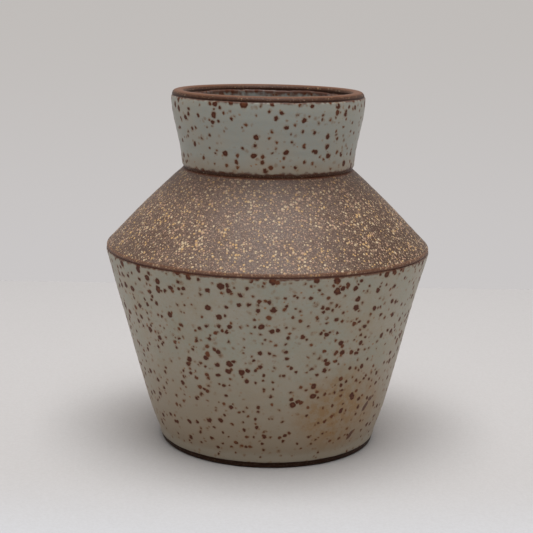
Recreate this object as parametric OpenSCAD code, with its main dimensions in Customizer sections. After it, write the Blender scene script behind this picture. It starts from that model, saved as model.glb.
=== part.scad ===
// Speckled stoneware bud vase: a flared body, a bare conical shoulder and a
// collar neck. Three thrown clay sections are luted together face to face.
// Three glaze coats lie on them: one on the body, one on the neck and one
// that lines the inside. The foot stands on z = 0 and the axis is Z.

/* [Overall] */
// Height from the table to the top of the lip
height = 125; // [123:1:130]
// Diameter of the shoulder edge, to its unrounded corner
shoulder_d = 114.6; // [110:0.2:120]
// Height of the shoulder edge, to its unrounded corner
shoulder_z = 71; // [67:0.1:73]
// Rounding radius of the shoulder edge
shoulder_round = 1.4; // [1.4:0.1:2.6]

/* [Neck] */
// Outside diameter of the neck's clay at its base
neck_d = 60.2; // [57:0.2:62]
// Height of the neck's base
neck_z = 97.9; // [95:0.1:98]
// Thickness of the neck's clay wall
neck_wall = 4.4; // [3.6:0.1:4.8]
// Outside diameter of the lip
rim_d = 67.4; // [65:0.2:69]
// Rounding radius of the lip's two edges
lip_round = 1.6; // [0.8:0.1:1.6]

/* [Body] */
// Thickness of the clay wall in the body and the shoulder
wall_t = 4.5; // [4:0.1:5.5]
// Thickness of the floor above the recess
floor_t = 5; // [4:0.5:8]
// Rounding radius between the floor and the wall, inside
floor_round = 9; // [4:1:12]

/* [Foot] */
// Outside diameter of the foot
foot_d = 77; // [76:0.2:77.6]
// Width of the flat ring that the vase stands on
foot_ring_w = 6; // [4:0.5:9]
// Depth of the recess inside the foot ring
recess_h = 2; // [1:0.5:3]
// Height of the bare clay band around the foot
foot_band_h = 1.9; // [1.2:0.1:2.4]
// Diameter of the heel, where the turned bevel above the foot ends
heel_d = 78.4; // [78.2:0.2:80.2]

/* [Glaze] */
// Thickness of each glaze coat
glaze_t = 0.4; // [0.3:0.05:0.6]
// Length over which a coat thins out at its edge
glaze_edge = 0.6; // [0.3:0.1:0.7]
// Height of the bare clay band under the top of the lip
lip_band_h = 1.7; // [1.7:0.1:2]
// Height of the bare clay band at the neck's base
neck_band_h = 0.7; // [0.3:0.1:0.8]

/* [Hidden] */

$fn = 128;
arc_steps = 10; // chords in each rounded corner

clay = "#6e5748";
celadon = "#999b8f";
liner_blue = "#8e9799";

foot_r = foot_d / 2;
foot_lean = 0.1;     // the bare band leans out by this much
foot_round = 0.8;
recess_r = foot_r - foot_ring_w;
heel_z = 4.8;
heel_round = 1;
belly_r = 41.9;      // where the curve above the heel meets the straight wall
belly_z = 12;
belly_reach = 4.5;   // that curve takes up this much of each side
seam_gap = 0.2;      // between a rounded edge and the joint below it, outside
seat_gap = 0.5;      // the same, inside
floor_z = recess_h + floor_t;
inner_round = 5;     // inside, under the shoulder edge

neck_h = height - neck_z;
flare_low = neck_z + 0.2 * neck_h;
flare_top = neck_z + 0.76 * neck_h;
lip_lean = 0.25;     // the last stretch below the lip leans out by this much
flare_reach = 0.13 * neck_h; // the flare's ends are eased over this much of each side

// A point on the line from a to b, at a given height or at a given radius.
// Every outline is a list of points [radius, height, rounding].
function at_height(a, b, h, rounding = 0) =
    [a.x + (b.x - a.x) * (h - a.y) / (b.y - a.y), h, rounding];
function at_radius(a, b, r) =
    [r, a.y + (b.y - a.y) * (r - a.x) / (b.x - a.x), 0];

function xy(p) = [p.x, p.y];
function unit(v) = v / norm(v);

// Normal on the right of the line from a to b: outwards, where the line climbs
function normal(a, b) =
    let (along = unit(xy(b) - xy(a)))
    [along.y, -along.x];

// 1 where the outline turns left at b, -1 where it turns right
function turn(a, b, c) = sign(cross(xy(b) - xy(a), xy(c) - xy(b)));

// The arc that rounds the corner b between a and c
function corner(a, b, c) =
    let (
        back = unit(xy(a) - xy(b)),
        ahead = unit(xy(c) - xy(b)),
        half = acos(back * ahead) / 2,
        centre = xy(b) + unit(back + ahead) * b.z / sin(half),
        start = xy(b) + back * b.z / tan(half) - centre,
        first = atan2(start.y, start.x),
        step = turn(a, b, c) * (180 - 2 * half) / arc_steps
    )
    [for (i = [0:arc_steps]) centre + b.z * [cos(first + i * step), sin(first + i * step)]];

// The corner b with the rounding that takes up a given length of each of its sides
function eased(a, b, c, length) =
    let (half = acos(unit(xy(a) - xy(b)) * unit(xy(c) - xy(b))) / 2)
    [b.x, b.y, length * tan(half)];

// An outline with its corners rounded
function rounded(path) = [
    for (i = [0:len(path) - 1])
        if (path[i].z > 0) each corner(path[i - 1], path[i], path[i + 1])
        else xy(path[i])
];

// An outline moved to its right by t, with mitred corners and concentric roundings
function moved(path, t) =
    let (last = len(path) - 1)
    [for (i = [0:last])
        let (
            p = path[i],
            before = i > 0 ? normal(path[i - 1], p) : normal(p, path[1]),
            after = i < last ? normal(p, path[i + 1]) : before,
            shift = t * (before + after) / (1 + before * after),
            bend = i > 0 && i < last ? turn(path[i - 1], p, path[i + 1]) : 0
        )
        [p.x + shift.x, p.y + shift.y, p.z > 0 ? p.z + t * bend : 0]
    ];

// An open end of a coat, drawn back along the outline so that the edge is thin
function drawn_back(end, next) =
    let (p = xy(end) + glaze_edge * unit(xy(next) - xy(end)))
    [p.x, p.y, 0];

function thin_ended(path) =
    let (last = len(path) - 1)
    [for (i = [0:last])
        i == 0 && path[0].x > 0 ? drawn_back(path[0], path[1])
        : i == last ? drawn_back(path[last], path[last - 1])
        : path[i]
    ];

function reversed(points) = [for (i = [len(points) - 1:-1:0]) points[i]];

// The section of a coat that lies on the right of an outline, or on its left if t < 0
function coat(path, t) =
    concat(rounded(path), reversed(rounded(thin_ended(moved(path, t)))));

// Corners of the clay's outside, from the foot up to the lip
foot_top = [foot_r + foot_lean, foot_band_h, 0];
heel = [heel_d / 2, heel_z, heel_round];
edge = [shoulder_d / 2, shoulder_z, shoulder_round];
belly = eased(heel, [belly_r, belly_z], edge, belly_reach);
neck_foot = [neck_d / 2, neck_z, 0];
low = [neck_d / 2, flare_low];
top = [rim_d / 2 - lip_lean, flare_top];
lip = [rim_d / 2, height, lip_round];
neck_outside = [
    neck_foot,
    eased(neck_foot, low, top, flare_reach),
    eased(low, top, lip, flare_reach),
    lip
];

// Corners of the clay's inside, from the floor up to the lip
body_inside = moved([belly, edge, neck_foot], -wall_t);
neck_inside = moved(neck_outside, -neck_wall);
floor_corner = at_height(body_inside[0], body_inside[1], floor_z, floor_round);
inner_edge = [body_inside[1].x, body_inside[1].y, inner_round];
throat_corner = at_radius(body_inside[1], body_inside[2], neck_inside[0].x);
throat_reach = 0.8 * (neck_z - throat_corner.y);
throat = eased(inner_edge, throat_corner, neck_inside[0], throat_reach);
inner_lip = at_height(neck_inside[2], neck_inside[3], height, lip_round);

// Joint between body and shoulder: just under the rounded edge, and sloping inwards
edge_start = corner(belly, edge, neck_foot)[0];
body_seam = at_height(belly, edge, edge_start.y - seam_gap);
inner_start = corner(body_inside[0], inner_edge, throat)[0];
seat_foot = at_height(body_inside[0], body_inside[1], inner_start.y - seat_gap);

module turned(points) {
    rotate_extrude() polygon(points);
}

// Floor, foot ring and flared wall, up to the sloping seat for the shoulder
module lower_body() {
    color(clay) turned(rounded([
        [0, recess_h, 0],
        [recess_r, recess_h, recess_h / 2],
        [recess_r, 0, recess_h / 4],
        [foot_r, 0, foot_round],
        foot_top, heel, belly, body_seam,
        seat_foot, floor_corner,
        [0, floor_z, 0]
    ]));
}

// Bare cone that closes the body in, from the shoulder edge to the neck
module shoulder() {
    color(clay) turned(rounded([
        body_seam, edge, neck_foot,
        neck_inside[0], throat, inner_edge, seat_foot
    ]));
}

// Flared collar with a rounded bare lip
module neck() {
    color(clay) turned(rounded([
        each neck_outside, inner_lip,
        neck_inside[2], neck_inside[1], neck_inside[0]
    ]));
}

// Coat from the bare foot up to the joint at the shoulder edge
module body_glaze() {
    color(celadon) turned(coat([foot_top, heel, belly, body_seam], glaze_t));
}

// Coat on the outside of the neck, between its two bare bands
module neck_glaze() {
    start = at_height(neck_foot, neck_outside[1], neck_z + neck_band_h);
    stop = at_height(neck_outside[2], lip, height - lip_band_h);
    color(celadon) turned(coat([start, neck_outside[1], neck_outside[2], stop], glaze_t));
}

// Coat over the whole inside, from the middle of the floor up to the bare lip
module liner_glaze() {
    stop = at_height(neck_inside[2], inner_lip, height - lip_band_h);
    color(liner_blue) turned(coat([
        [0, floor_z, 0],
        floor_corner, inner_edge, throat,
        neck_inside[1], neck_inside[2], stop
    ], -glaze_t));
}

lower_body();
shoulder();
neck();
body_glaze();
neck_glaze();
liner_glaze();
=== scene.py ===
"""A speckled stoneware bud vase on a pale floor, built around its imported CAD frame. Metres, +Z up."""

import math

import bpy
from mathutils import Matrix, Vector, noise


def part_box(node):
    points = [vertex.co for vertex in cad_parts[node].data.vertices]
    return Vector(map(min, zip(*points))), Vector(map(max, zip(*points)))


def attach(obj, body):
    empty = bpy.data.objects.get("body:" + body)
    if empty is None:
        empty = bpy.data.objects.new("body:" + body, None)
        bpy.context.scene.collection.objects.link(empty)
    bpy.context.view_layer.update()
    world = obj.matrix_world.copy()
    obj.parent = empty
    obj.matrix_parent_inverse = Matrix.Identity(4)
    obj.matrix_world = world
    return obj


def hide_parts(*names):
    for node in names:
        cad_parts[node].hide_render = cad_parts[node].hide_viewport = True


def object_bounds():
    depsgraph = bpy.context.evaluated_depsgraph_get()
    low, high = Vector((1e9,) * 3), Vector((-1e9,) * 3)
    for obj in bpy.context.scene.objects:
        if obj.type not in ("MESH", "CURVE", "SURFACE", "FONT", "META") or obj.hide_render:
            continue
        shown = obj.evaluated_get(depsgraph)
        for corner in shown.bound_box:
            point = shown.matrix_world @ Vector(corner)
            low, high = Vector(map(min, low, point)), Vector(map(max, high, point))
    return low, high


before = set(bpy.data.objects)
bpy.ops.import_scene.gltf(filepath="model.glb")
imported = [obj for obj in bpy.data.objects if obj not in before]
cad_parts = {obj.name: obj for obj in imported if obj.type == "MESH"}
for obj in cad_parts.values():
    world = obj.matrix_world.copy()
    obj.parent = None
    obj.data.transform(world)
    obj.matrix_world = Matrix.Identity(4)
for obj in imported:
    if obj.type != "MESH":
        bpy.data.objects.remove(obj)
cad_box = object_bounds()

MM = 0.001
BODY = "root"

# ---------------------------------------------------------------- sizes
# Heights and radii of the clay and of the glaze's edges, from the frame
HEIGHT = cad_box[1].z
RIM_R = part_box("neck")[1].x
NECK_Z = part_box("neck")[0].z
FLOOR_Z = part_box("liner_glaze")[0].z
LINER_TOP_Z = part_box("liner_glaze")[1].z
NECK_GLAZE_Z = [corner.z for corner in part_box("neck_glaze")]
BODY_GLAZE_Z = [corner.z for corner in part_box("body_glaze")]

# The rest of the clay's shape, as the part is designed
EDGE_R = 57.3 * MM            # shoulder edge, to its unrounded corner
EDGE_Z = 71 * MM
EDGE_ROUND = 1.4 * MM
NECK_R = 30.1 * MM
NECK_WALL = 4.4 * MM
LIP_ROUND = 1.6 * MM
LIP_LEAN = 0.25 * MM
WALL = 4.5 * MM
FOOT_R = 38.5 * MM
FOOT_LEAN = 0.1 * MM
FOOT_RING_W = 6 * MM
RECESS_H = 2 * MM
HEEL_R = 39.2 * MM
HEEL_Z = 4.8 * MM
BELLY_R = 41.9 * MM
BELLY_Z = 12 * MM
GLAZE = 0.4 * MM
SINK = 0.12 * MM              # how far a coat's hidden face lies inside the clay
SEAM_GAP = 0.2 * MM           # from the rounded shoulder edge down to the body's joint, outside
SEAT_GAP = 0.5 * MM           # the same, inside
LEAN = -0.0128                # how far the axis drifts in x as it climbs, about the shoulder edge

AROUND = 256                  # quads around every piece
STEP = 1.1 * MM               # length of a quad on a straight stretch
ARC_STEP = math.radians(9)    # turn of a quad on a rounded corner


# ---------------------------------------------------------------- outlines
# An outline is a list of corners (radius, height, rounding), as in the CAD part.

def unit(vector):
    return vector / vector.length


def xy(corner):
    return Vector(corner[:2])


def at_height(a, b, z, rounding=0):
    """The point at height z on the line from corner a to corner b."""
    part = (z - a[1]) / (b[1] - a[1])
    return (a[0] + (b[0] - a[0]) * part, z, rounding)


def at_radius(a, b, r):
    """The point at radius r on the line from corner a to corner b."""
    part = (r - a[0]) / (b[0] - a[0])
    return (r, a[1] + (b[1] - a[1]) * part, 0)


def sides(a, b, c):
    """Directions from corner b back to a and on to c, and half the angle between them."""
    back = unit(xy(a) - xy(b))
    ahead = unit(xy(c) - xy(b))
    return back, ahead, math.acos(max(-1, min(1, back.dot(ahead)))) / 2


def eased(a, b, c, length):
    """Corner b with the rounding that takes up a given length of each side."""
    return (b[0], b[1], length * math.tan(sides(a, b, c)[2]))


def turn(a, b, c):
    """1 where the outline turns left at b, -1 where it turns right."""
    first = xy(b) - xy(a)
    second = xy(c) - xy(b)
    return math.copysign(1, first.x * second.y - first.y * second.x)


def arc(a, b, c):
    """Points of the arc that rounds corner b."""
    back, ahead, half = sides(a, b, c)
    centre = xy(b) + unit(back + ahead) * b[2] / math.sin(half)
    start = xy(b) + back * b[2] / math.tan(half) - centre
    sweep = turn(a, b, c) * (math.pi - 2 * half)
    first = math.atan2(start.y, start.x)
    length = abs(sweep) * b[2]
    count = max(3, math.ceil(abs(sweep) / ARC_STEP), math.ceil(length / STEP))
    return [centre + b[2] * Vector((math.cos(first + sweep * i / count),
                                    math.sin(first + sweep * i / count)))
            for i in range(count + 1)]


def normal(a, b):
    """The direction on the right of the line from corner a to corner b."""
    along = unit(xy(b) - xy(a))
    return Vector((along.y, -along.x))


def moved(path, distance):
    """An outline moved to its right, with mitred corners and concentric roundings."""
    result = []
    last = len(path) - 1
    for i, corner in enumerate(path):
        before = normal(path[i - 1], corner) if i > 0 else normal(corner, path[1])
        after = normal(corner, path[i + 1]) if i < last else before
        shift = distance * (before + after) / (1 + before.dot(after))
        rounding = corner[2]
        if rounding > 0 and 0 < i < last:
            rounding += distance * turn(path[i - 1], corner, path[i + 1])
        result.append((corner[0] + shift.x, corner[1] + shift.y, rounding))
    return result


def drawn(path):
    """Points along an outline: its corners rounded and its straight stretches divided."""
    points = []
    last = len(path) - 1
    for i, corner in enumerate(path):
        if corner[2] > 0 and 0 < i < last:
            nexts = arc(path[i - 1], corner, path[i + 1])
        else:
            nexts = [xy(corner)]
        if points:
            gap = nexts[0] - points[-1]
            count = max(1, math.ceil(gap.length / STEP))
            points += [points[-1] + gap * k / count for k in range(1, count)]
        points += nexts
    return points


# Corners of the clay, outside and inside
foot_top = (FOOT_R + FOOT_LEAN, BODY_GLAZE_Z[0], 0)
heel = (HEEL_R, HEEL_Z, 1 * MM)
edge = (EDGE_R, EDGE_Z, EDGE_ROUND)
belly = eased(heel, (BELLY_R, BELLY_Z), edge, 4.5 * MM)
neck_foot = (NECK_R, NECK_Z, 0)
neck_h = HEIGHT - NECK_Z
flare_low = (NECK_R, NECK_Z + 0.2 * neck_h)
flare_top = (RIM_R - LIP_LEAN, NECK_Z + 0.76 * neck_h)
lip = (RIM_R, HEIGHT, LIP_ROUND)
neck_outside = [
    neck_foot,
    eased(neck_foot, flare_low, flare_top, 0.13 * neck_h),
    eased(flare_low, flare_top, lip, 0.13 * neck_h),
    lip,
]
body_inside = moved([belly, edge, neck_foot], -WALL)
neck_inside = moved(neck_outside, -NECK_WALL)
floor_corner = at_height(body_inside[0], body_inside[1], FLOOR_Z, 9 * MM)
inner_edge = (*body_inside[1][:2], 5 * MM)
throat_corner = at_radius(body_inside[1], body_inside[2], neck_inside[0][0])
throat = eased(inner_edge, throat_corner, neck_inside[0], 0.8 * (NECK_Z - throat_corner[1]))
inner_lip = at_height(neck_inside[2], neck_inside[3], HEIGHT, LIP_ROUND)
body_seam = at_height(belly, edge, arc(belly, edge, neck_foot)[0].y - SEAM_GAP)
seat_foot = at_height(body_inside[0], body_inside[1],
                      arc(body_inside[0], inner_edge, throat)[0].y - SEAT_GAP)

# Heights in millimetres, as the materials take them
SEAM = body_seam[1] / MM
NECK = NECK_Z / MM
TOP = HEIGHT / MM
LINER_TOP = LINER_TOP_Z / MM
NECK_GLAZE = [z / MM for z in NECK_GLAZE_Z]


# ---------------------------------------------------------------- the potter's hand

def ramp(value, low, high):
    """0 below low, 1 above high, and smooth between."""
    t = max(0.0, min(1.0, (value - low) / (high - low)))
    return t * t * (3 - 2 * t)


# How far the clay strays from its round outline, in millimetres
OVAL = 0.09                   # out along one diameter and in along the other
DRIFT = 0.17                  # slow and irregular
RINGS = 0.03                  # marks of the throwing fingers
SWELL = 0.5                   # the shoulder's middle, out
WAIST = 0.3                   # the neck's base, in
FULLNESS = 0.22               # the body's left out and its right in
HOLLOW = 0.15                 # the wall below the shoulder edge, in
SHRINK = 0.08                 # everywhere, in


def hump(z, low, low_full, high_full, high):
    """0 outside low and high, 1 between low_full and high_full, and smooth between. In mm."""
    return ramp(z, low * MM, low_full * MM) * (1 - ramp(z, high_full * MM, high * MM))


def hand(point, angle):
    """How far the clay leans out or in at a point, from throwing and drying by hand."""
    z = point[1]
    off_foot = ramp(z, 6 * MM, 16 * MM)
    off_edge = 1 - 0.75 * ramp(z, 60 * MM, EDGE_Z) * (1 - ramp(z, EDGE_Z, 80 * MM))
    around = Vector((math.cos(angle), math.sin(angle), 0))
    oval = OVAL * math.cos(2 * angle + 0.7) * (0.3 + 0.7 * off_foot)
    drift = DRIFT * noise.noise(around * 1.3 + Vector((0, 0, z / (24 * MM))))
    rings = RINGS * math.sin(math.tau * z / (3.3 * MM) + angle) * off_foot
    climb = max(0.0, min(1.0, (z - EDGE_Z) / (NECK_Z - EDGE_Z)))
    swell = SWELL * math.sin(math.pi * climb) ** 2
    waist = -WAIST * hump(z, NECK - 4, NECK, NECK, NECK + 5)
    fullness = FULLNESS * hump(z, 14, 40, 52, EDGE_Z / MM) * math.cos(angle - math.pi)
    hollow = -HOLLOW * hump(z, 30, 45, 60, 68)
    uneven = (oval + drift + rings) * off_edge
    return (uneven + swell + waist + fullness + hollow - SHRINK) * MM


def wave(angle, seed, size):
    """How far a hand-dipped edge draws back at an angle, from 0 to size."""
    at = Vector((3 * math.cos(angle), 3 * math.sin(angle), seed))
    rough = noise.noise(at) + 0.6 * noise.noise(at * 3.1) + 0.4 * noise.noise(at * 7.7)
    return size * max(0.0, min(1.0, 0.45 + 0.6 * rough))


# ---------------------------------------------------------------- meshes

STRIP_GAP = 0.004             # between strips of the bake map, as a share of its side
SEEN_TOP = 0.985              # the strips' share of the map, from its bottom
HIDDEN_LOW = 0.99             # where the hidden rows lie
HIDDEN_TALL = 0.005


def strips(mesh, rows, corners, seen):
    """A bake map: the seen rows fill the square as stacked strips, and the hidden rows share its
    top edge. A corner is (row, column, step to the next row, step to the next column)."""
    layer = mesh.uv_layers.new(name="OFBake")
    count = len(rows)
    lengths = [(rows[(j + 1) % count] - rows[j]).length for j in range(count)]
    length = sum(lengths[j] for j in range(count) if seen[j])
    girth = math.tau * max(row.x for row, shown in zip(rows, seen) if shown)
    bands = min((1, 2, 3, 4, 5, 6, 8), key=lambda n: abs(math.log(n * n * length / girth)))
    starts = [sum(lengths[k] for k in range(j) if seen[k]) / length for j in range(count)]
    per_band = AROUND // bands
    gap = STRIP_GAP * bands
    for loop, (j, i, dj, di) in enumerate(corners):
        if seen[j]:
            band = i // per_band
            u = STRIP_GAP + (1 - 2 * STRIP_GAP) * (i % per_band + di) / per_band
            v = starts[j] + dj * lengths[j] / length
            v = SEEN_TOP * (band + gap + v * (1 - 2 * gap)) / bands
        else:
            u = (i + di) / AROUND
            v = HIDDEN_LOW + HIDDEN_TALL * dj
        layer.data[loop].uv = (u, v)


TINY = 1e-7                   # closer than this, two points are one


def revolve(name, rows, seen, bend=None):
    """A closed surface from the rows of an outline, in quads, with a fan where a row is on the
    axis. bend(row number, angle) gives a row's point at an angle, where it isn't the same all
    round."""
    points = []
    rings = []
    for j, row in enumerate(rows):
        if row.x < TINY:
            rings.append([len(points)] * AROUND)
            points.append((LEAN * (row.y - EDGE_Z), 0, row.y))
            continue
        rings.append(list(range(len(points), len(points) + AROUND)))
        for i in range(AROUND):
            angle = math.tau * i / AROUND
            at = bend(j, angle) if bend else row
            reach = at.x + hand(at, angle) * ramp(at.x, 4 * MM, 24 * MM)
            lean = LEAN * (at.y - EDGE_Z)
            points.append((reach * math.cos(angle) + lean, reach * math.sin(angle), at.y))
    faces = []
    corners = []
    for j, ring in enumerate(rings):
        above = rings[(j + 1) % len(rings)]
        if ring[0] == ring[1] and above[0] == above[1]:
            continue
        for i in range(AROUND):
            after = (i + 1) % AROUND
            loop = [(ring[i], (j, i, 0, 0)), (ring[after], (j, i, 0, 1)),
                    (above[after], (j, i, 1, 1)), (above[i], (j, i, 1, 0))]
            if ring[0] == ring[1]:
                loop[:2] = [(ring[0], (j, i, 0, 0.5))]
            if above[0] == above[1]:
                loop[-2:] = [(above[0], (j, i, 1, 0.5))]
            faces.append([index for index, _ in loop])
            corners += [corner for _, corner in loop]
    mesh = bpy.data.meshes.new(name)
    mesh.from_pydata(points, [], faces)
    strips(mesh, rows, corners, seen)
    mesh.polygons.foreach_set("use_smooth", [True] * len(mesh.polygons))
    mesh.update()
    piece = bpy.data.objects.new(name, mesh)
    bpy.context.scene.collection.objects.link(piece)
    return piece


def clay_piece(name, stretches):
    """A thrown section. Its outline is given as stretches (corners, whether it shows)."""
    rows = []
    seen = []
    for path, shown in stretches:
        points = drawn(path)
        if rows and (points[0] - rows[-1]).length < TINY:
            points = points[1:]
            seen[-1] = shown
        rows += points
        seen += [shown] * len(points)
    if (rows[0] - rows[-1]).length < TINY:
        rows.pop()
        seen.pop()
    return revolve(name, rows, seen)


class Track:
    """A drawn outline that a coat lies on, measured along its length."""

    def __init__(self, path):
        self.points = drawn(path)
        self.s = [0.0]
        for a, b in zip(self.points, self.points[1:]):
            self.s.append(self.s[-1] + (b - a).length)
        self.length = self.s[-1]
        sides_of = [normal(a, b) for a, b in zip(self.points, self.points[1:])]
        sides_of = [sides_of[0], *sides_of, sides_of[-1]]
        self.normals = [unit(a + b) for a, b in zip(sides_of, sides_of[1:])]

    def at(self, s):
        """The point at length s, and the normal there."""
        k = 0
        while k < len(self.s) - 2 and self.s[k + 1] < s:
            k += 1
        part = (s - self.s[k]) / (self.s[k + 1] - self.s[k])
        point = self.points[k].lerp(self.points[k + 1], part)
        return point, unit(self.normals[k].lerp(self.normals[k + 1], part))


NOSE = 0.8 * MM               # length over which a coat's edge rounds down to the clay
NOSE_PARTS = (0.0, 0.04, 0.12, 0.25, 0.45, 0.7, 1.0)
WAVE_FADE = 7 * MM            # how far from its edge a coat still follows the edge's waves


def coat_piece(name, path, side, start, stop):
    """A glaze coat on an outline, on its right if side is 1 and its left if -1. start and stop are
    the waves (seed, size) of its two edges, or None where it ends on the axis."""
    track = Track(path)
    count = math.ceil(track.length / STEP)
    steps = {track.length * k / count for k in range(count + 1)} | set(track.s)
    for part in NOSE_PARTS:
        if start:
            steps.add(part * NOSE)
        if stop:
            steps.add(track.length - part * NOSE)
    merged = [0.0]
    for s in sorted(steps):
        if s - merged[-1] > 0.02 * MM:
            merged.append(s)
    merged[-1] = track.length

    def lift(s):
        """How far the coat's outer face stands off the clay."""
        share = 1.0
        if start:
            share *= math.sqrt(1 - (1 - min(1, s / NOSE)) ** 2)
        if stop:
            share *= math.sqrt(1 - (1 - min(1, (track.length - s) / NOSE)) ** 2)
        return side * (share * (GLAZE + SINK) - SINK)

    outer = [(s, lift(s)) for s in merged]
    under = [(s, -side * SINK) for s in merged[4:-4:5]][::-1]
    if not start:
        under.append((0.0, -side * SINK))
    stations = outer + under

    def bend(j, angle):
        s, out = stations[j]
        if start:
            s += wave(angle, *start) * (1 - ramp(s, 0, WAVE_FADE))
        if stop:
            s -= wave(angle, *stop) * (1 - ramp(track.length - s, 0, WAVE_FADE))
        point, aside = track.at(s)
        return point + aside * out

    rows = []
    for s, out in stations:
        point, aside = track.at(s)
        rows.append(point + aside * out)
        if not start and s == 0:
            rows[-1].x = 0
    seen = [j < len(outer) - 1 for j in range(len(stations))]
    return revolve(name, rows, seen, bend)


# ---------------------------------------------------------------- node trees

def srgb(red, green, blue):
    """A colour given in 0 to 255 as a screen shows it, as the linear one that a shader takes."""
    def linear(value):
        value /= 255
        return value / 12.92 if value <= 0.04045 else ((value + 0.055) / 1.055) ** 2.4
    return (linear(red), linear(green), linear(blue), 1)


class Shader:
    """A material's node tree. Each call adds a node and returns its output socket."""

    def __init__(self, name):
        self.material = bpy.data.materials.new(name)
        self.material.use_nodes = True
        self.nodes = self.material.node_tree.nodes
        self.links = self.material.node_tree.links
        self.nodes.clear()
        output = self.nodes.new("ShaderNodeOutputMaterial")
        self.surface = self.nodes.new("ShaderNodeBsdfPrincipled")
        self.links.new(self.surface.outputs[0], output.inputs["Surface"])
        place = self.nodes.new("ShaderNodeTexCoord").outputs["Object"]
        self.at = self.vector("SCALE", place, scale=1 / MM)     # in millimetres
        axes = self.nodes.new("ShaderNodeSeparateXYZ")
        self.links.new(self.at, axes.inputs[0])
        self.x, self.y, self.z = axes.outputs

    def put(self, value, socket):
        """Links a value that is a socket, and sets one that is a number or a colour."""
        if isinstance(value, bpy.types.NodeSocket):
            self.links.new(value, socket)
        else:
            socket.default_value = value

    def vector(self, operation, a, b=None, scale=None):
        node = self.nodes.new("ShaderNodeVectorMath")
        node.operation = operation
        self.put(a, node.inputs[0])
        if b is not None:
            self.put(b, node.inputs[1])
        if scale is not None:
            self.put(scale, node.inputs["Scale"])
        return node.outputs["Vector"]

    def math(self, operation, a, b=0.0):
        node = self.nodes.new("ShaderNodeMath")
        node.operation = operation
        for value, socket in zip((a, b), node.inputs):
            self.put(value, socket)
        return node.outputs[0]

    def times(self, *values):
        result = values[0]
        for value in values[1:]:
            result = self.math("MULTIPLY", result, value)
        return result

    def plus(self, a, b):
        return self.math("ADD", a, b)

    def minus(self, a, b):
        return self.math("SUBTRACT", a, b)

    def fade(self, value, low, high, to_low=0.0, to_high=1.0):
        """to_low where value is below low, to_high above high, smooth between."""
        node = self.nodes.new("ShaderNodeMapRange")
        node.interpolation_type = "SMOOTHSTEP"
        for given, socket in zip((value, low, high, to_low, to_high), node.inputs):
            self.put(given, socket)
        if isinstance(low, (int, float)) and isinstance(high, (int, float)) and low > high:
            node.inputs[1].default_value, node.inputs[2].default_value = high, low
            self.put(to_high, node.inputs[3])
            self.put(to_low, node.inputs[4])
        return node.outputs[0]

    def mix(self, share, a, b):
        """Colour b laid over colour a by a share."""
        node = self.nodes.new("ShaderNodeMix")
        node.data_type = "RGBA"
        self.put(share, node.inputs[0])
        self.put(a, node.inputs[6])
        self.put(b, node.inputs[7])
        return node.outputs[2]

    def noise(self, size, seed, detail=2.0, rough=0.5, at=None, colour=False):
        """Fractal noise about 0.5, with features of a size in millimetres."""
        node = self.nodes.new("ShaderNodeTexNoise")
        node.noise_dimensions = "4D"
        self.put(at or self.at, node.inputs["Vector"])
        node.inputs["W"].default_value = seed
        node.inputs["Scale"].default_value = 1 / size
        node.inputs["Detail"].default_value = detail
        node.inputs["Roughness"].default_value = rough
        return node.outputs["Color" if colour else "Fac"]

    def roughened(self, value, size, seed, detail, amount, rough=0.5):
        """A value pushed up and down by noise, by about half of amount either way."""
        push = self.minus(self.noise(size, seed, detail, rough), 0.5)
        return self.plus(value, self.times(push, amount))

    def warped(self, size, amount, seed, at=None):
        """The place, pushed about by noise, so that spots aren't round."""
        push = self.noise(size, seed, 1.0, 0.5, at, colour=True)
        push = self.vector("SUBTRACT", push, (0.5, 0.5, 0.5))
        return self.vector("ADD", at or self.at, self.vector("SCALE", push, scale=2 * amount))

    def cells(self, size, seed, at):
        """Scattered points about one size apart: the distance to the nearest in mm, and three
        random numbers of its own."""
        node = self.nodes.new("ShaderNodeTexVoronoi")
        node.voronoi_dimensions = "3D"
        node.feature = "F1"
        moved_at = self.vector("ADD", at, (seed * 17.3, seed * 5.1, seed * 9.7))
        self.put(moved_at, node.inputs["Vector"])
        node.inputs["Scale"].default_value = 1 / size
        node.inputs["Randomness"].default_value = 1
        parts = self.nodes.new("ShaderNodeSeparateColor")
        self.links.new(node.outputs["Color"], parts.inputs[0])
        return self.times(node.outputs["Distance"], size), parts.outputs

    def spots(self, size, seed, small, large, at, room):
        """Distance in mm outside (or, below 0, inside) scattered round spots, and their random
        numbers. Their radii run from small to large in mm, and room scales them."""
        distance, chance = self.cells(size, seed, at)
        share = self.math("POWER", chance[0], 1.6)
        radius = self.plus(self.times(share, large - small), small)
        return self.minus(distance, self.times(radius, room)), chance

    def bump(self, height, depth, after=None):
        """Relief: height is 0 to 1 and depth in mm."""
        node = self.nodes.new("ShaderNodeBump")
        node.inputs["Strength"].default_value = 1
        node.inputs["Distance"].default_value = depth * MM
        self.put(height, node.inputs["Height"])
        if after:
            self.put(after, node.inputs["Normal"])
        return node.outputs[0]

    def done(self, colour, rough, normal_out, specular):
        self.put(colour, self.surface.inputs["Base Color"])
        self.put(rough, self.surface.inputs["Roughness"])
        self.put(normal_out, self.surface.inputs["Normal"])
        self.surface.inputs["Specular IOR Level"].default_value = specular
        return self.material


# ---------------------------------------------------------------- materials

CELADON = srgb(166, 158, 142)
CELADON_WARM = srgb(160, 146, 122)
CELADON_GREEN = srgb(158, 156, 140)
CELADON_LOW = srgb(152, 135, 113)
NECK_CELADON = srgb(158, 159, 149)
LINER = srgb(120, 124, 124)
IRON_CORE = srgb(80, 34, 8)
IRON_PALE = srgb(112, 62, 30)
IRON_HALO = srgb(132, 92, 52)
TAN = srgb(146, 100, 54)
BLUSH = srgb(146, 110, 64)
# dark iron brown of the glaze's edges and runs, also laid as painted shade on the shoulder and inside
# the rim
FRINGE_AND_SHADE = srgb(86, 42, 20)
RUST = srgb(128, 84, 58)

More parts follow.
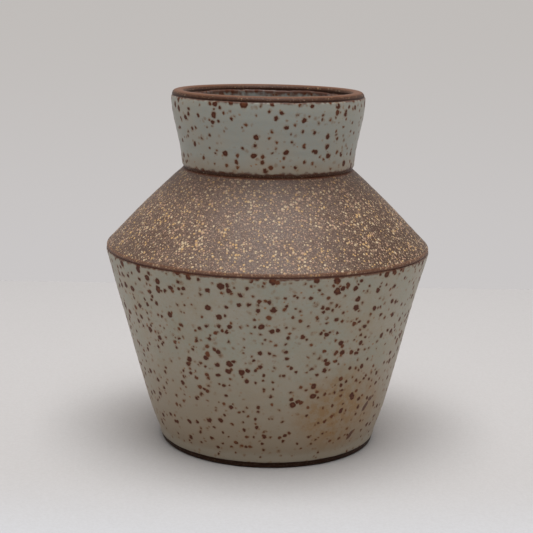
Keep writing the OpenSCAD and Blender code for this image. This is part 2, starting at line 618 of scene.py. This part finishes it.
CLAY = srgb(114, 93, 83)
CLAY_RED = srgb(108, 80, 64)
# painted shade for the shoulder's sides
CLAY_SIDE_SHADE = srgb(70, 44, 28)
CLAY_DARK = srgb(58, 36, 26)
LIP_BROWN = srgb(92, 54, 32)
# the next two: painted shade under the lip's rounded top, and a painted highlight along that top
LIP_UNDER_SHADE = srgb(48, 24, 12)
LIP_CREST_HIGHLIGHT = srgb(112, 74, 52)
LIP_RED = srgb(104, 62, 38)
FOOT_BLACK = srgb(42, 22, 10)
FOOT_BROWN = srgb(54, 30, 14)
GRAIN_CREAM = srgb(208, 184, 150)
GRAIN_OCHRE = srgb(206, 166, 112)
GRAIN_PINK = srgb(186, 150, 124)

FLOOR = srgb(199, 197, 197)
# painted light: the floor's front, lighter and bluer
FLOOR_FRONT_LIT = srgb(209, 213, 220)
FLOOR_SHADE = srgb(150, 145, 140)
WALL_LOW = srgb(202, 199, 199)
WALL_HIGH = srgb(192, 188, 185)
ROOM = srgb(128, 126, 124)    # behind the camera

GLAZE_SHINE = 0.33            # specular level


def glaze(name, base, warm, green, density, breaks, firing_and_shade=None):
    """A satin glaze with iron specks. density(shader) scales the specks' radii over the coat.
    breaks are the heights in mm of its edges: (height, which way the coat lies, reach).
    fired(shader, colour) lays on what the kiln did to one coat, under its specks."""
    s = Shader(name)
    colour = s.mix(s.fade(s.noise(9, 1.0, 3, 0.6), 0.35, 0.65), base, green)
    colour = s.mix(s.fade(s.noise(14, 2.0, 3, 0.6), 0.45, 0.8), colour, warm)
    fine = s.noise(0.9, 9.0, 3, 0.6)
    colour = s.mix(s.fade(fine, 0.3, 0.65, 0.5, 0.0), colour, warm)
    if firing_and_shade:
        colour = firing_and_shade(s, colour)

    at = s.warped(2.4, 0.55, 3.0, s.warped(0.8, 0.22, 4.0))
    room = s.times(density(s), s.fade(s.noise(11, 5.0, 2), 0.3, 0.7, 0.72, 1.12))
    faint, chance = s.spots(1.9, 1, 0.12, 0.5, at, room)
    colour = s.mix(s.times(s.fade(faint, 0.12, -0.2), chance[1], 0.9), colour, TAN)
    pepper, chance = s.spots(1.5, 2, -0.2, 0.32, at, room)
    colour = s.mix(s.times(s.fade(pepper, 0.1, -0.15), chance[1], 0.8), colour, IRON_HALO)

    big, _ = s.spots(3.4, 3, 0.55, 1.25, at, room)
    small, small_chance = s.spots(2.8, 4, 0.35, 0.85, at, room)
    iron = s.math("MINIMUM", big, small)
    iron = s.roughened(iron, 0.8, 10.0, 2, 0.7, 0.6)
    colour = s.mix(s.times(s.fade(iron, 0.5, 0.0), 0.55), colour, IRON_HALO)
    core = s.mix(s.times(s.fade(big, -0.55, -0.85), 0.6), IRON_CORE, IRON_PALE)
    core = s.mix(s.times(small_chance[1], s.fade(small, 0.3, 0.0), 0.9), core, IRON_PALE)
    speck = s.fade(iron, 0.1, -0.1)
    colour = s.mix(speck, colour, core)

    for height, way, reach in breaks:
        ragged = s.roughened(s.z, 1.6, 6.0, 3, 2.2 * reach)
        inward = s.times(s.minus(ragged, height), way)
        colour = s.mix(s.fade(inward, reach, 0.1 * reach, 0.0, 0.9), colour, FRINGE_AND_SHADE)

    rough = s.plus(0.42, s.times(speck, 0.2))
    rough = s.roughened(rough, 5, 7.0, 3, 0.12)
    relief = s.bump(s.noise(1.4, 8.0, 3, 0.55), 0.05)
    relief = s.bump(fine, 0.03, relief)
    relief = s.bump(speck, 0.03, relief)
    return s.done(colour, rough, relief, GLAZE_SHINE)


def even(s):
    """The same specks everywhere."""
    return 1.05


def body_density(s):
    """Few specks just above the foot."""
    low = s.fade(s.z, 4.5, 7.5, 0.5, 0.9)
    return s.plus(low, s.fade(s.z, 20, 45, 0.0, 0.17))


BLUSH_AT = (36, 21)           # degrees to the right of the front, and height in mm
BLUSH_REACH = (24, 16)
MM_PER_DEGREE = 0.78          # along the body's girth, at the height of the iron runs
# Degrees to the right, height, slope in radians and half the length of each run of iron, in mm
IRON_RUNS = [(50.5, 19.5, 0.95, 4.0), (53, 22, 0.25, 2.2), (45, 9.5, 0.85, 4.2)]


def thin_and_pale(s, colour):
    """Browner where the glaze is thin low on the body, and pale just above the foot."""
    low = s.roughened(s.z, 12, 11.0, 2, 22)
    colour = s.mix(s.fade(low, 6, 52, 0.85, 0.0), colour, CELADON_LOW)
    pale = s.roughened(s.z, 5, 12.0, 2, 3)
    return s.mix(s.fade(pale, 4.2, 6.5, 0.55, 0.0), colour, CELADON)


def blush(s, colour, right):
    """A dusty ochre patch."""
    def squared(value, middle, reach):
        share = s.times(s.minus(value, middle), 1 / reach)
        return s.math("POWER", s.math("ABSOLUTE", share), 2)
    apart = squared(right, BLUSH_AT[0], BLUSH_REACH[0])
    above = squared(s.z, BLUSH_AT[1], BLUSH_REACH[1])
    away = s.roughened(s.plus(apart, above), 9, 13.0, 3, 1.6)
    dusty = s.fade(s.noise(2.6, 15.0, 4, 0.65), 0.38, 0.62, 0.35, 1.0)
    return s.mix(s.times(s.fade(away, 1.4, 0.1, 0.0, 0.82), dusty), colour, BLUSH)


def iron_run(s, colour, right, turned, height, slope, reach):
    """A dark streak, widest in its middle, that runs across the glaze at a slope."""
    run = s.times(s.minus(right, turned), MM_PER_DEGREE)
    rise = s.minus(s.z, height)
    along = s.plus(s.times(run, math.cos(slope)), s.times(rise, math.sin(slope)))
    across = s.plus(s.times(run, -math.sin(slope)), s.times(rise, math.cos(slope)))
    across = s.roughened(across, 2.5, 14.0, 2, 1.2)
    spread = s.fade(s.math("ABSOLUTE", along), reach * 0.2, reach, 0.75, -1.2)
    inside = s.minus(spread, s.math("ABSOLUTE", across))
    return s.mix(s.fade(inside, -0.25, 0.1, 0.0, 0.95), colour, FRINGE_AND_SHADE)


def body_firing(s, colour):
    """What the kiln did to the body: thin glaze low down, and a blush and runs of iron on the
    right of the front."""
    colour = thin_and_pale(s, colour)
    right = s.math("DEGREES", s.math("ARCTAN2", s.x, s.times(s.y, -1.0)))
    colour = blush(s, colour, right)
    for place in IRON_RUNS:
        colour = iron_run(s, colour, right, *place)
    return colour


def neck_density(s):
    """More iron at the neck's top and foot than half way up."""
    low = s.fade(s.z, NECK + 5, NECK + 12, 1.05, 0.78)
    high = s.fade(s.z, TOP - 10, TOP - 4, 0.0, 0.3)
    return s.plus(low, high)


def neck_firing(s, colour):
    """Browner glaze where the neck meets the shoulder."""
    low = s.roughened(s.z, 4, 16.0, 2, 4)
    return s.mix(s.fade(low, NECK + 1, NECK + 8, 0.75, 0.0), colour, CELADON_LOW)


def shoulder_side_shade(s, colour):
    """Painted shade: the shoulder darker and redder towards either side, most of all on the right,
    where its sheen from the overhead light falls off.
    """
    place = s.roughened(s.x, 7, 29.0, 3, 14)
    colour = s.mix(s.fade(place, 10, 48, 0.0, 0.95), colour, CLAY_SIDE_SHADE)
    return s.mix(s.fade(place, -20, -54, 0.0, 0.48), colour, CLAY_SIDE_SHADE)


def bare_clay(name, base, red, grains, lines, shine, firing_and_shade=None):
    """Unglazed stoneware with pale grog. grains scales the radii of its grains, and lines are
    bands of another colour, some of them painted highlight and shade: (colour, height in mm of the
    middle, half the width, share).
    shine is its specular level, and the last argument lays on colour as a glaze's does; on the shoulder
    it is painted shade at the sides."""
    s = Shader(name)
    colour = s.mix(s.fade(s.noise(4, 21.0, 4, 0.65), 0.4, 0.8), base, red)
    fine = s.noise(0.5, 22.0, 3, 0.65)
    colour = s.mix(s.fade(fine, 0.32, 0.62, 0.7, 0.0), colour, CLAY_DARK)
    if firing_and_shade:
        colour = firing_and_shade(s, colour)

    sand = s.fade(s.noise(0.42, 28.0, 2, 0.5), 0.55, 0.66, 0.0, 0.36)
    colour = s.mix(s.times(sand, grains), colour, GRAIN_CREAM)

    at = s.warped(0.9, 0.28, 23.0, s.warped(0.4, 0.1, 25.0))
    room = s.times(s.fade(s.noise(8, 24.0, 2), 0.3, 0.7, 0.85, 1.2), grains)
    dust, dust_chance = s.spots(0.62, 5, 0.08, 0.34, at, room)
    dusted = s.fade(dust, 0.08, -0.12)
    colour = s.mix(s.times(dusted, dust_chance[1], 0.7), colour, GRAIN_PINK)
    grit, chance = s.spots(0.92, 6, 0.18, 0.5, at, room)
    colour = s.mix(s.times(s.fade(grit, 0.3, 0.05), 0.3), colour, CLAY_DARK)
    tone = s.mix(s.fade(chance[1], 0.3, 0.7), GRAIN_CREAM, GRAIN_OCHRE)
    tone = s.mix(s.fade(chance[2], 0.5, 0.7), tone, GRAIN_PINK)
    grain = s.fade(grit, 0.06, -0.12, 0.0, 0.9)
    colour = s.mix(grain, colour, tone)

    # Painted shade: darker up towards the neck's foot, where the neck keeps light off the shoulder;
    # above that height, as on the lip, the clay is mixed half way to dark all over.
    neck_shade_height = s.roughened(s.z, 5, 27.0, 2, 6)
    colour = s.mix(s.fade(neck_shade_height, NECK - 14, NECK, 0.0, 0.5), colour, CLAY_DARK)
    for line, middle, half, share in lines:
        wander = s.roughened(s.z, 3, 26.0, 2, half)
        away = s.math("ABSOLUTE", s.minus(wander, middle))
        colour = s.mix(s.fade(away, 1.3 * half, 0.7 * half, 0.0, share), colour, line)

    relief = s.bump(fine, 0.06)
    relief = s.bump(s.plus(grain, dusted), 0.05, relief)
    return s.done(colour, 0.5, relief, shine)


# ---------------------------------------------------------------- pieces

def dress(piece, node, material):
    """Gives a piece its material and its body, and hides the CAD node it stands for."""
    piece.data.materials.append(material)
    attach(piece, BODY)
    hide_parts(node)


def make_lower_body(material):
    recess_r = FOOT_R - FOOT_RING_W
    shown_top = at_height(foot_top, heel, foot_top[1] + 1.4 * MM)
    piece = clay_piece("lower_body_clay", [
        ([(0, RECESS_H, 0), (recess_r, RECESS_H, RECESS_H / 2), (recess_r, 0, RECESS_H / 4),
          (FOOT_R, 0, 0.8 * MM), foot_top, shown_top], True),
        ([shown_top, heel, belly, body_seam, seat_foot, floor_corner, (0, FLOOR_Z, 0)], False),
    ])
    dress(piece, "lower_body", material)


def make_shoulder(material):
    piece = clay_piece("shoulder_clay", [
        ([body_seam, edge, neck_foot], True),
        ([neck_foot, neck_inside[0], throat, inner_edge, seat_foot, body_seam], False),
    ])
    dress(piece, "shoulder", material)


def make_neck(material):
    under_glaze = 1.2 * MM
    low = at_height(neck_foot, neck_outside[1], NECK_GLAZE_Z[0] + under_glaze)
    high = at_height(neck_outside[2], lip, NECK_GLAZE_Z[1] - under_glaze)
    inner_high = at_height(neck_inside[2], inner_lip, LINER_TOP_Z - under_glaze)
    piece = clay_piece("neck_clay", [
        ([neck_foot, low], True),
        ([low, *neck_outside[1:3], high], False),
        ([high, lip, inner_lip, inner_high], True),
        ([inner_high, neck_inside[2], neck_inside[1], neck_inside[0], neck_foot], False),
    ])
    dress(piece, "neck", material)


def make_body_glaze(material):
    path = [foot_top, heel, belly, body_seam]
    piece = coat_piece("body_glaze_coat", path, 1, (1.0, 0.2 * MM), (2.0, 0.3 * MM))
    dress(piece, "body_glaze", material)


def make_neck_glaze(material):
    low = at_height(neck_foot, neck_outside[1], NECK_GLAZE_Z[0])
    high = at_height(neck_outside[2], lip, NECK_GLAZE_Z[1])
    path = [low, *neck_outside[1:3], high]
    piece = coat_piece("neck_glaze_coat", path, 1, (3.0, 0.4 * MM), (4.0, 0.2 * MM))
    dress(piece, "neck_glaze", material)


def make_liner(material):
    high = at_height(neck_inside[2], inner_lip, LINER_TOP_Z)
    path = [(0, FLOOR_Z, 0), floor_corner, inner_edge, throat, *neck_inside[1:3], high]
    piece = coat_piece("liner_glaze_coat", path, -1, None, (5.0, 0.5 * MM))
    dress(piece, "liner_glaze", material)


# ---------------------------------------------------------------- floor, light and camera

def floor_white():
    """A matte pale floor with a fine grain, with painted light: lighter and a little bluer towards the
    front.
    """
    s = Shader("floor_white")
    colour = s.mix(s.fade(s.y, -40, -150), FLOOR, FLOOR_FRONT_LIT)
    shade = s.fade(s.noise(0.9, 31.0, 3, 0.7), 0.25, 0.75, 0.14, 0.0)
    relief = s.bump(s.noise(0.8, 32.0, 3), 0.05)
    return s.done(s.mix(shade, colour, FLOOR_SHADE), 0.9, relief, 0.2)


def make_floor():
    """A pale table top that ends behind the vase, where the backdrop's plain light takes over."""
    back_edge = 0.247
    far = 4.0
    mesh = bpy.data.meshes.new("floor")
    corners = [(-far, -far, 0), (far, -far, 0), (far, back_edge, 0), (-far, back_edge, 0)]
    mesh.from_pydata(corners, [], [(0, 1, 2, 3)])
    floor = bpy.data.objects.new("floor", mesh)
    bpy.context.scene.collection.objects.link(floor)
    floor.data.materials.append(floor_white())


def make_world():
    """Plain light from all round, which is also the wall behind the floor: paler low down, and
    darker behind the camera."""
    world = bpy.data.worlds.new("pale_room")
    world.use_nodes = True
    nodes, links = world.node_tree.nodes, world.node_tree.links
    axes = nodes.new("ShaderNodeSeparateXYZ")
    links.new(nodes.new("ShaderNodeTexCoord").outputs["Generated"], axes.inputs[0])

    def graded(axis, low, high, first, second):
        """The first colour below low on an axis, the second above high."""
        share = nodes.new("ShaderNodeMapRange")
        share.interpolation_type = "SMOOTHSTEP"
        share.inputs[1].default_value, share.inputs[2].default_value = low, high
        links.new(axes.outputs[axis], share.inputs[0])
        mix = nodes.new("ShaderNodeMix")
        mix.data_type = "RGBA"
        links.new(share.outputs[0], mix.inputs[0])
        for colour, socket in ((first, mix.inputs[6]), (second, mix.inputs[7])):
            if isinstance(colour, tuple):
                socket.default_value = colour
            else:
                links.new(colour, socket)
        return mix.outputs[2]

    wall = graded("Z", -0.24, 0.02, WALL_LOW, WALL_HIGH)
    room = graded("Y", -0.7, 0.5, ROOM, wall)
    links.new(room, nodes["Background"].inputs["Color"])
    bpy.context.scene.world = world


def make_light(name, place, aim, size, watts):
    light = bpy.data.lights.new(name, "AREA")
    light.shape = "SQUARE"
    light.size = size
    light.energy = watts
    lamp = bpy.data.objects.new(name, light)
    lamp.location = place
    lamp.rotation_euler = (Vector(aim) - Vector(place)).to_track_quat("-Z", "Y").to_euler()
    bpy.context.scene.collection.objects.link(lamp)


def make_camera():
    """The photograph's view: from 0.46 m away, slightly above and slightly rolled."""
    distance = 0.46
    pitch = 0.2054
    roll = 0.0172
    aim = Vector((-0.00022, 0, 0.06204))
    camera = bpy.data.cameras.new("camera")
    camera.sensor_width = 36
    camera.lens = 86.5
    camera.clip_start = 0.01
    camera.clip_end = 50
    holder = bpy.data.objects.new("camera", camera)
    holder.location = aim + distance * Vector((0, -math.cos(pitch), math.sin(pitch)))
    turned = (aim - holder.location).to_track_quat("-Z", "Y").to_matrix()
    holder.rotation_euler = (turned @ Matrix.Rotation(roll, 3, "Z")).to_euler()
    bpy.context.scene.collection.objects.link(holder)
    bpy.context.scene.camera = holder


make_lower_body(bare_clay("foot_clay", FOOT_BLACK, FOOT_BROWN, 0.2, [], 0.12))

# Bands on the shoulder: rust along its edge, then dark lines of painted shade where the rounded edge
# turns down to the glaze and in the crease at the neck's foot.
shoulder_lines_and_shade = [
    (RUST, SEAM + 0.9, 0.5, 0.5),
    (FRINGE_AND_SHADE, SEAM + 0.15, 0.3, 0.95),
    (FRINGE_AND_SHADE, NECK, 0.4, 0.8),
]
# The shoulder's clay, with painted shade towards its sides.
make_shoulder(bare_clay("shoulder_clay", CLAY, CLAY_RED, 1.0, shoulder_lines_and_shade, 0.36,
                        shoulder_side_shade))

# On the lip: a painted highlight along its rounded top, and a band of painted shade just above the
# glaze's top edge, inside and out.
lip_highlight_and_shade = [(LIP_CREST_HIGHLIGHT, TOP + 0.2, 0.6, 0.8), (LIP_UNDER_SHADE, LINER_TOP, 0.5, 0.85)]
make_neck(bare_clay("lip_clay", LIP_BROWN, LIP_RED, 0.6, lip_highlight_and_shade, 0.22))

body_breaks = [(SEAM - 0.15, -1, 0.8), (2.0, 1, 0.3)]
make_body_glaze(glaze("body_celadon", CELADON, CELADON_WARM, CELADON_GREEN, body_density,
                      body_breaks, body_firing))

neck_breaks = [(NECK_GLAZE[0] + 0.2, 1, 1.2), (NECK_GLAZE[1], -1, 0.8)]
make_neck_glaze(glaze("neck_celadon", NECK_CELADON, CELADON, NECK_CELADON, neck_density,
                      neck_breaks, neck_firing))

# The liner's top edge: a brown glaze fringe, reaching further down as painted shade over the coat's lit
# edge inside the rim.
make_liner(glaze("liner_celadon", LINER, LINER, NECK_CELADON, even, [(LINER_TOP, -1, 3.2)]))

make_floor()
make_world()
make_light("overhead", (0.0, -0.2, 1.2), (0, 0, 0.05), 0.9, 14)
make_light("right", (1.2, 0.3, 0.6), (0, 0, 0.06), 0.8, 0.6)
make_camera()
bpy.context.scene.view_settings.view_transform = "Standard"
